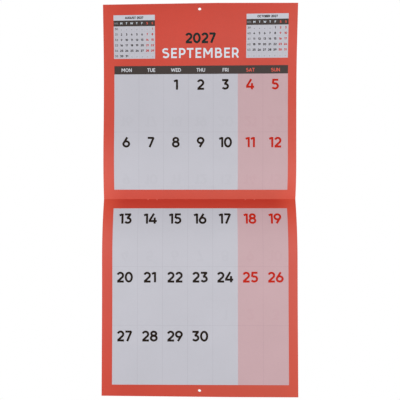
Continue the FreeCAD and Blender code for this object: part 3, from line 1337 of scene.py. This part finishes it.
@dataclass
class Lettering:
    """Dates, weekday names, heading and small tables, as thin films of ink on the pages."""

    booklet: Booklet
    palette: Palette
    grid: MonthGrid
    tables: tuple[MonthTable, MonthTable]
    pens: dict[Weight, Pen]
    year: str = "2027"
    year_middle: float = 1.5
    year_base: float = 242.7
    year_height: float = 15.0
    year_width: float = 47.0
    month: str = "SEPTEMBER"
    month_middle: float = 1.2
    month_base: float = 220.0
    month_height: float = 15.0
    month_width: float = 119.0
    week_head: str = "WK"
    behind: dict[Side, tuple[tuple[int, ...], int, int]] = field(
        default_factory=lambda: {Side.UPPER: ((9, 16), 31, 2), Side.LOWER: ((4, -3), 31, 2)}
    )
    bend_step: float = 3.0
    smooth_below: float = 40.0
    tight_gap: float = 0.1
    title_gap: float = 0.09

    def build(self) -> list[Piece]:
        """Make every film of ink.

        Returns:
            The finished pieces.
        """
        palette = self.palette
        made = []
        for side in Side:
            kinds = ((False, "dates", palette.black_ink), (True, "weekend_dates", palette.red_ink))
            for weekend, kind, ink in kinds:
                made.append(self.film(f"{side.label}_{kind}", side, ink, self.dates(side, weekend)))
        for side in Side:
            kinds = ((False, "ghosts", palette.ghost), (True, "weekend_ghosts", palette.pink_ghost))
            for weekend, kind, ink in kinds:
                made.append(self.film(f"{side.label}_{kind}", side, ink, self.show_through(side, weekend)))
        for name, ink, bm in (
            ("weekday_names", palette.name_ink, self.weekdays(False)),
            ("weekend_names", palette.band_red_ink, self.weekdays(True)),
            ("year_line", palette.slate_ink, self.year_line()),
            ("month_line", palette.white_ink, self.month_line()),
            ("table_dates", palette.black_ink, self.table_dates(False)),
            ("table_weekend_dates", palette.red_ink, self.table_dates(True)),
            ("table_weeks", palette.week_ink, self.table_weeks()),
            ("table_weekdays", palette.white_ink, self.table_weekdays(False)),
            ("table_weekend_names", palette.band_red_ink, self.table_weekdays(True)),
        ):
            made.append(self.film(name, Side.UPPER, ink, bm))
        return made

    def film(self, name: str, side: Side, finish: CoatedPaper, bm: Mesh) -> Piece:
        """Bend flat lettering onto the page and finish it.

        Args:
            name: name of the piece.
            side: half that carries it.
            finish: its ink.
            bm: the flat lettering, in millimetres.

        Returns:
            The finished piece.
        """
        low = min(vert.co.y for vert in bm.verts)
        high = max(vert.co.y for vert in bm.verts)
        level = math.ceil(low / self.bend_step) * self.bend_step
        while level < high:
            cut_line(bm, 1, level)
            level += self.bend_step
        for vert in bm.verts:
            vert.co = self.booklet.place(vert.co.x, vert.co.y, vert.co.z)
        piece = finish_mesh(name, bm, [finish.build()], self.smooth_below)
        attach(piece, side.body)
        report(piece)
        return piece

    def dates(self, side: Side, weekend: bool) -> Mesh:
        """Write the big dates of one half, either the weekdays' or the weekend's.

        Args:
            side: half of the booklet.
            weekend: whether the weekend's signs are wanted, and not the weekdays'.

        Returns:
            The flat lettering, in millimetres.
        """
        grid = self.grid
        bm = bmesh.new()
        for day in range(1, grid.days + 1):
            row, column = divmod(day - 1 + grid.first_column, 7)
            if (row < 2) is not (side is Side.UPPER) or (column >= grid.first_weekend) is not weekend:
                continue
            top = grid.band_low - grid.row * row if row < 2 else -grid.inner - grid.row * (row - 2)
            base = top - grid.date_drop - grid.date_height
            middle = grid.middle(side, column) + grid.date_shift
            self.pens[Weight.BOLD].write(bm, str(day), middle, base, grid.date_height, gap=grid.date_gap)
        return bm

    def show_through(self, side: Side, weekend: bool) -> Mesh:
        """Write the dates on the back of the page upside down and mirrored, as they show through it.

        Args:
            side: half whose page they show through.
            weekend: whether the weekend's dates are wanted.

        Returns:
            The flat lettering, in millimetres.
        """
        grid = self.grid
        bm = bmesh.new()
        first, days, rows = self.behind[side]
        for row in range(rows):
            for column in range(7):
                day = first[row] + column
                if not 1 <= day <= days or (column >= grid.first_weekend) is not weekend:
                    continue
                foot = side.value * (grid.inner + grid.row * (row if side is Side.UPPER else row + 1))
                glyphs = bmesh.new()
                self.pens[Weight.BOLD].write(glyphs, str(day), 0.0, 0.0, grid.date_height, gap=grid.date_gap)
                bmesh.ops.scale(glyphs, verts=glyphs.verts, vec=(1.0, -1.0, 1.0))
                middle = grid.middle(side, column) + grid.date_shift
                place = (middle, foot + grid.date_drop + grid.date_height, 0.0)
                bmesh.ops.translate(glyphs, verts=glyphs.verts, vec=place)
                absorb(bm, glyphs)
        return bm

    def weekdays(self, weekend: bool) -> Mesh:
        """Write the weekday names, either the weekdays' or the weekend's.

        Args:
            weekend: whether the weekend's signs are wanted, and not the weekdays'.

        Returns:
            The flat lettering, in millimetres.
        """
        grid = self.grid
        bm = bmesh.new()
        for column, name in enumerate(grid.weekdays):
            if (column >= grid.first_weekend) is weekend:
                middle = grid.middle(Side.UPPER, column)
                base = grid.weekday_base - grid.weekday_fall * column
                pen = self.pens[Weight.MEDIUM]
                pen.write(bm, name, middle, base, grid.weekday_height, gap=self.tight_gap)
        return bm

    def year_line(self) -> Mesh:
        """Write the year.

        Returns:
            The flat lettering, in millimetres.
        """
        bm = bmesh.new()
        pen = self.pens[Weight.HEAVY]
        pen.write(bm, self.year, self.year_middle, self.year_base, self.year_height, width=self.year_width)
        return bm

    def month_line(self) -> Mesh:
        """Write the month's name.

        Returns:
            The flat lettering, in millimetres.
        """
        bm = bmesh.new()
        self.pens[Weight.FULL].write(
            bm, self.month, self.month_middle, self.month_base, self.month_height, width=self.month_width
        )
        return bm

    def table_dates(self, weekend: bool) -> Mesh:
        """Write the small tables' titles and dates, either the weekdays' or the weekend's.

        Args:
            weekend: whether the weekend's signs are wanted, and not the weekdays'.

        Returns:
            The flat lettering, in millimetres.
        """
        bm = bmesh.new()
        for table in self.tables:
            if not weekend:
                base = table.high - table.title_height / 2 - table.title_sign / 2
                middle = (table.left + table.right) / 2
                self.pens[Weight.SMALL].write(
                    bm, table.title, middle, base, table.title_sign, gap=self.title_gap
                )
            for cell in range(table.rows * 7):
                row, column = divmod(cell, 7)
                if (column >= self.grid.first_weekend) is not weekend:
                    continue
                day = cell - table.first_column + 1
                text = str(day) if 1 <= day <= table.days else "."
                place = (table.middle(column + 1), table.row_base(row))
                self.pens[Weight.SMALL].write(bm, text, *place, table.sign_height)
        return bm

    def table_weeks(self) -> Mesh:
        """Write the small tables' week numbers and the head of their column.

        Returns:
            The flat lettering, in millimetres.
        """
        bm = bmesh.new()
        for table in self.tables:
            pen, middle, height = self.pens[Weight.SMALL], table.middle(0), table.sign_height
            pen.write(bm, self.week_head, middle, table.head_base, height, gap=self.tight_gap)
            for row in range(table.rows):
                text = str(table.first_week + row) if row * 7 < table.first_column + table.days else "."
                pen.write(bm, text, middle, table.row_base(row), height)
        return bm

    def table_weekdays(self, weekend: bool) -> Mesh:
        """Write the small tables' weekday letters, either the weekdays' or the weekend's.

        Args:
            weekend: whether the weekend's signs are wanted, and not the weekdays'.

        Returns:
            The flat lettering, in millimetres.
        """
        bm = bmesh.new()
        for table in self.tables:
            for column, name in enumerate(self.grid.weekdays):
                if (column >= self.grid.first_weekend) is weekend:
                    place = (table.middle(column + 1), table.head_base)
                    self.pens[Weight.BOLD].write(bm, name[0], *place, table.sign_height)
        return bm


@dataclass
class CoverCard:
    """The folded card cover: one sheet behind both stacks, rounded at the spine."""

    booklet: Booklet
    palette: Palette
    upper_depth: float = 1.43
    lower_depth: float = 0.79
    thickness: float = 0.3
    spine_reach: float = 0.45
    spine_steps: int = 14
    settle: float = 22.0
    row_step: float = 7.0
    columns: int = 12
    crease: float = 1.2
    hole_segments: int = 36
    turn_room: float = 0.9
    smooth_below: float = 25.0

    def depth_at(self, along: float) -> float:
        """Give the inner face's depth: the lower half's stack is thinner than the upper half's.

        Args:
            along: signed distance from the fold, in millimetres.

        Returns:
            The depth behind the printed face, in millimetres.
        """
        if along >= -self.spine_reach:
            return self.upper_depth
        share = min(1.0, (-along - self.spine_reach) / self.settle)
        eased = share * share * (3 - 2 * share)
        return self.upper_depth + (self.lower_depth - self.upper_depth) * eased

    def place(self, across: float, along: float, depth: float) -> Vector:
        """Bend a point of the flat card round the spine.

        Args:
            across: distance to the right of the middle, in millimetres.
            along: signed distance from the middle of the spine, in millimetres.
            depth: distance behind the card's inner face, in millimetres.

        Returns:
            The point in the part's frame, in metres.
        """
        inner = self.depth_at(along)
        if abs(along) <= self.spine_reach:
            share = 0.5 - along / self.spine_reach / 2
            return self.booklet.round_spine(across, share, inner + depth)
        distance = along - math.copysign(self.spine_reach, along)
        return self.booklet.place(across, distance or math.copysign(1e-4, along), inner + depth)

    def build(self) -> Piece:
        """Make the card, bent round the spine.

        Returns:
            The finished piece.
        """
        book = self.booklet
        bm = bmesh.new()
        half = book.width / 2
        reach = book.length + self.spine_reach
        flat_grid(bm, -half, half, -reach, reach, self.row_step, self.columns)
        for step in range(self.spine_steps + 1):
            cut_line(bm, 1, self.spine_reach * (2 * step / self.spine_steps - 1))
        for value in (-self.crease, self.crease):
            cut_line(bm, 1, value)
        for face in faces_within(bm, -half, half, -self.crease, self.crease):
            face.material_index = 2
        for sign in (1, -1):
            drill_flat(bm, (0.0, sign * (reach - book.hole_inset)), book.hole_radius, self.hole_segments)
        thicken(bm, self.thickness, 1)
        for vert in bm.verts:
            vert.co = self.place(vert.co.x, vert.co.y, vert.co.z)
        palette = self.palette
        materials = [palette.card.build(), palette.edge.build(), palette.card_crease.build()]
        piece = finish_mesh("cover_card", bm, materials, self.smooth_below)
        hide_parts("front_cover", "back_cover")
        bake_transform(piece)
        report(piece)
        return piece


@dataclass
class Staples:
    """The two wire staples, kept from the CAD with a finish of their own."""

    palette: Palette
    nodes: tuple[str, ...] = ("staple_left", "staple_right")

    def dress(self) -> None:
        """Give the wire its material."""
        wire = self.palette.wire.build()
        for name in self.nodes:
            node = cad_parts[name]
            node.data.materials.clear()
            node.data.materials.append(wire)
            report(node)


@dataclass(frozen=True)
class Lamp:
    """A soft panel lamp: where it hangs, its width and height in metres, and its power in watts."""

    name: str
    place: Axes
    wide: float
    high: float
    power: float


@dataclass
class Studio:
    """Plain studio: grey floor, white surroundings, soft lamps in front, boards above and below."""

    floor_level: float = -1.15
    floor_radius: float = 1.2
    board_half_width: float = 2.4
    upper_board_level: float = 0.85
    upper_board_reach: Span = (-3.6, -0.15)
    lower_board_level: float = -1.17
    lower_board_reach: Span = (-4.5, 0.4)
    camera_place: Axes = (0.0005, -0.6879, -0.2938)
    lens: float = 40.2
    sensor: float = 36.0
    sky: float = 0.85
    cloud_scale: float = 6.0
    floor_tones: Span = (0.54, 0.58)
    upper_tones: Span = (0.03, 0.05)
    lower_tones: Span = (0.50, 0.54)
    smooth_below: float = 30.0
    lamps: tuple[Lamp, ...] = (
        Lamp("front_panel", (0.0, -2.6, -0.34), 3.2, 1.6, 30.5),
        Lamp("left_panel", (-0.8, -0.6, -0.32), 0.3, 0.9, 1.5),
        Lamp("right_panel", (0.75, -0.75, -0.52), 0.4, 0.8, 1.7),
    )

    def build(self) -> None:
        """Set up the floor, the boards, the world, the lamps and the camera."""
        self.floor()
        self.board("upper_board", self.upper_board_level, self.upper_board_reach, self.upper_tones)
        self.board("lower_board", self.lower_board_level, self.lower_board_reach, self.lower_tones)
        self.surroundings()
        for lamp in self.lamps:
            self.hang(lamp)
        self.camera()

    def grey(self, name: str, tones: Span, roughness: float) -> Material:
        """Make a matt grey with soft clouds, from its darkest tone to its lightest.

        Args:
            name: name of the material.
            tones: darkest and lightest grey.
            roughness: roughness of the face.

        Returns:
            The finished material.
        """
        material, tree, shader = new_material(name)
        tone = spread(tree, noise(tree, self.cloud_scale, 3.0), *tones)
        blend = tree.nodes.new("ShaderNodeCombineColor")
        for channel in ("Red", "Green", "Blue"):
            tree.links.new(tone, blend.inputs[channel])
        feed(tree, shader.inputs["Base Color"], blend.outputs["Color"])
        feed(tree, shader.inputs["Roughness"], roughness)
        return material

    def floor(self) -> None:
        """Lay a round grey floor below the calendar."""
        bm = bmesh.new()
        bmesh.ops.create_circle(bm, cap_ends=True, radius=self.floor_radius, segments=96)
        bmesh.ops.translate(bm, verts=bm.verts, vec=(0.0, 0.0, self.floor_level))
        material = self.grey("pale_floor", self.floor_tones, 0.8)
        finish_mesh("floor", bm, [material], self.smooth_below)

    def board(self, name: str, level: float, reach: Span, tones: Span) -> None:
        """Set up a level board that keeps light from above or below off the calendar, out of sight.

        Args:
            name: name of the board and its material.
            level: its height, in metres.
            reach: where it begins and ends in front of the calendar.
            tones: darkest and lightest grey of its face.
        """
        bm = bmesh.new()
        flat_grid(bm, -self.board_half_width, self.board_half_width, *reach, 3.0)
        bmesh.ops.translate(bm, verts=bm.verts, vec=(0.0, 0.0, level))
        board = finish_mesh(name, bm, [self.grey(name, tones, 0.9)], self.smooth_below)
        board.visible_camera = False

    def surroundings(self) -> None:
        """Show white to the camera and to mirrors, and light the object with a softer grey."""
        world = bpy.data.worlds.new("studio")
        bpy.context.scene.world = world
        world.use_nodes = True
        tree = world.node_tree
        tree.nodes.clear()
        path = tree.nodes.new("ShaderNodeLightPath")
        seen = joined(tree, "MAXIMUM", path.outputs["Is Camera Ray"], path.outputs["Is Glossy Ray"])
        seen = joined(tree, "MAXIMUM", seen, path.outputs["Is Transmission Ray"])
        light, white = (tree.nodes.new("ShaderNodeBackground") for _ in range(2))
        for node, strength in ((light, self.sky), (white, 1.0)):
            node.inputs["Color"].default_value = (1.0, 1.0, 1.0, 1.0)
            node.inputs["Strength"].default_value = strength
        mix = tree.nodes.new("ShaderNodeMixShader")
        output = tree.nodes.new("ShaderNodeOutputWorld")
        tree.links.new(seen, mix.inputs["Fac"])
        tree.links.new(light.outputs["Background"], mix.inputs[1])
        tree.links.new(white.outputs["Background"], mix.inputs[2])
        tree.links.new(mix.outputs["Shader"], output.inputs["Surface"])

    def hang(self, lamp: Lamp) -> None:
        """Hang a soft panel lamp that looks at the middle of the calendar.

        Args:
            lamp: the lamp's place, size and power.
        """
        data = bpy.data.lights.new(lamp.name, "AREA")
        data.shape = "RECTANGLE"
        data.size, data.size_y = lamp.wide, lamp.high
        data.energy = lamp.power
        hung = bpy.data.objects.new(lamp.name, data)
        hung.location = lamp.place
        aim = Vector((0.0, 0.0, self.camera_place[2])) - Vector(lamp.place)
        hung.rotation_euler = aim.to_track_quat("-Z", "Y").to_euler()
        bpy.context.collection.objects.link(hung)

    def camera(self) -> None:
        """Set the camera where the photograph was taken from."""
        data = bpy.data.cameras.new("camera")
        data.sensor_width = self.sensor
        data.lens = self.lens
        data.clip_start, data.clip_end = 0.01, 20.0
        camera = bpy.data.objects.new("camera", data)
        camera.location = self.camera_place
        camera.rotation_euler = (math.radians(90), 0.0, 0.0)
        bpy.context.collection.objects.link(camera)
        bpy.context.scene.camera = camera


def main() -> None:
    """Build the calendar piece by piece."""
    logging.basicConfig(level=logging.INFO, format="%(name)s %(message)s")
    bpy.context.scene.view_settings.view_transform = "Standard"
    booklet, palette, grid = Booklet(), Palette(), MonthGrid()
    tables = (
        MonthTable("AUGUST 2027", -133.75, -69.35, 6, 31, 30, 285.7, 8.1),
        MonthTable("OCTOBER 2027", 72.0, 136.2, 4, 31, 39, 285.25, 7.8),
    )
    forms = Letterforms()
    pens = {
        Weight.HEAVY: Pen(forms, 0.225),
        Weight.BOLD: Pen(forms, 0.205),
        Weight.FULL: Pen(forms, 0.175),
        Weight.MEDIUM: Pen(forms, 0.16),
        Weight.SMALL: Pen(forms, 0.27, 30.0),
    }
    FrontSpread(booklet, palette, grid, tables).build()
    StackBehind(booklet, palette, Side.UPPER, 8, 3).build()
    StackBehind(booklet, palette, Side.LOWER, 4, 5, hole_creep=1.15, hole_sway=-0.4).build()
    Lettering(booklet, palette, grid, tables, pens).build()
    CoverCard(booklet, palette).build()
    Staples(palette).dress()
    Studio().build()


if __name__ == "__main__":
    main()
